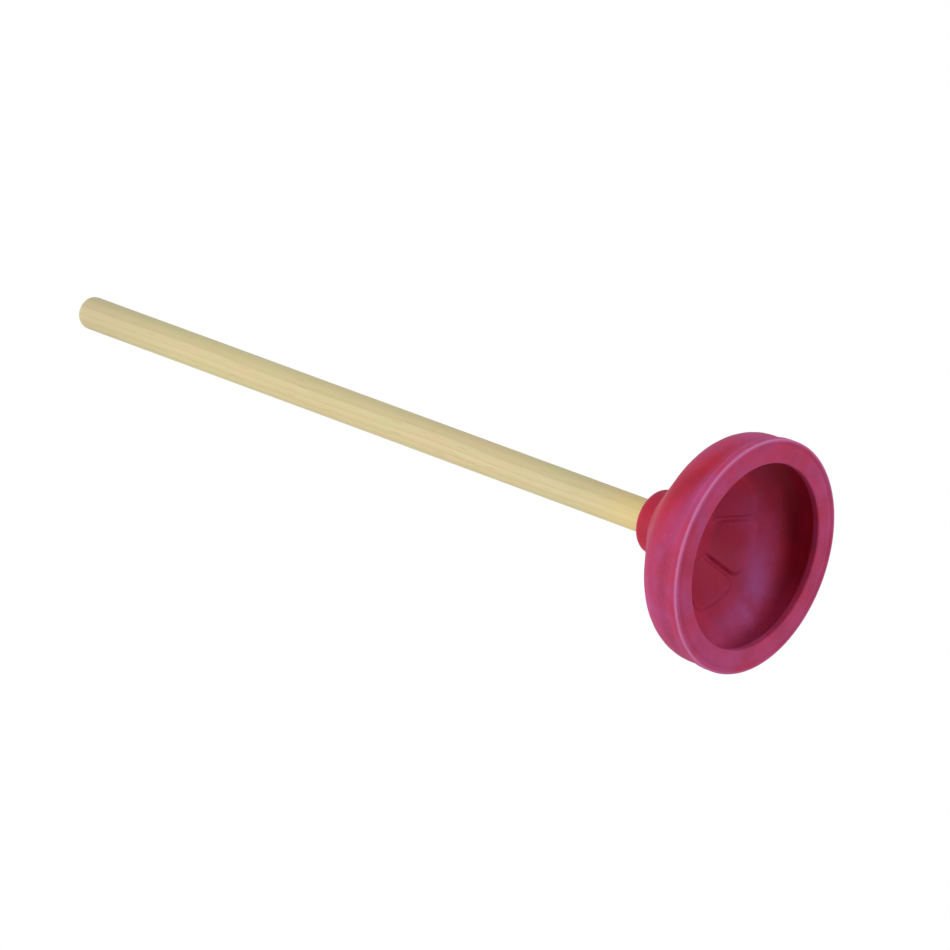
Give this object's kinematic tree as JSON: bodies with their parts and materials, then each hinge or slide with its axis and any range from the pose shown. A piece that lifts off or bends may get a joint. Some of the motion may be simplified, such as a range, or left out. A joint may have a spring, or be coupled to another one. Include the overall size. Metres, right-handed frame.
{
  "type": "sink plunger",
  "caption": "Hand plunger for clearing sinks: a red rubber cup with a flat sealing lip, screwed on to a straight wooden handle with a domed end.",
  "frame": {"origin": "centre of the lip's flat face, on the surface that the cup stands on", "axes": "+Z along the handle, from the lip's face to the domed end. The part is round about Z, so X and Y only fix the turn of the pads inside the cup: one of the seven pads is centred on +Y."},
  "size_m": [0.125, 0.125, 0.477],
  "materials": {
    "red_rubber": "matt moulded rubber with a pale dusty bloom",
    "pale_wood": "sanded bare pale hardwood with fine lengthwise grain"
  },
  "bodies": {
    "cup": {"cup_bell": "red_rubber"},
    "neck": {"cup_neck": "red_rubber"},
    "handle": {"handle": "pale_wood"}
  },
  "joints": [
    {"name": "plunge", "type": "slide", "parent": "cup", "child": "neck", "axis": [0, 0, -1], "range_m": [-0.006, 0.018], "stiffness_N_per_m": 3000, "springref_m": -0.0003, "deforming": ["cup_bell"]},
    {"name": "unscrew", "type": "hinge", "parent": "neck", "child": "handle", "pos_m": [0, 0, 0.0655], "axis": [0, 0, 1], "range_deg": [0, 1440]}
  ]
}
